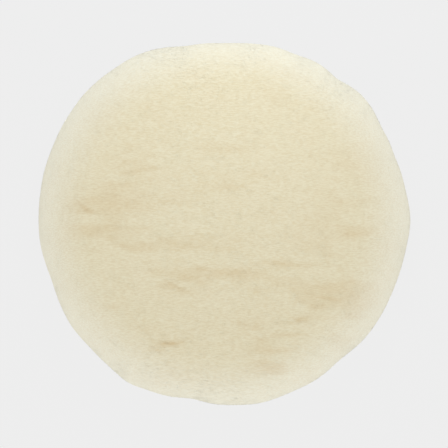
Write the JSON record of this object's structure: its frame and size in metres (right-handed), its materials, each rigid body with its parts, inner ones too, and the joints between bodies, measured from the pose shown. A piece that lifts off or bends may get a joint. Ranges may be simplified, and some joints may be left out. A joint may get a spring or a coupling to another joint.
{
  "type": "polishing pad",
  "caption": "Round lambswool polishing pad: clipped cream pile on a hide drawn over bevelled foam, with a stitched hook-and-loop back.",
  "frame": {"origin": "centre of the loop face that the pad lies on", "axes": "+Z along the pad's axis, out of the pile; X and Y in the loop face"},
  "size_m": [0.18, 0.18, 0.03],
  "materials": {
    "wool": "soft clipped natural lambswool, cream",
    "hide": "tanned sheepskin, suede side",
    "bond_film": "hot-melt film",
    "foam": "open-cell foam",
    "loop_cloth": "woven polyester",
    "loop_nap": "brushed nylon loops",
    "thread": "twisted polyester thread"
  },
  "bodies": {
    "root": {"face_pile": "wool", "rim_pile": "wool", "lambskin_hide": "hide", "face_bond_film": "bond_film", "foam_interface": "foam", "back_bond_film": "bond_film", "loop_base_cloth": "loop_cloth", "loop_nap": "loop_nap", "seam_needle_thread": "thread", "seam_bobbin_thread": "thread", "edge_needle_thread": "thread", "edge_bobbin_thread": "thread"}
  },
  "joints": []
}
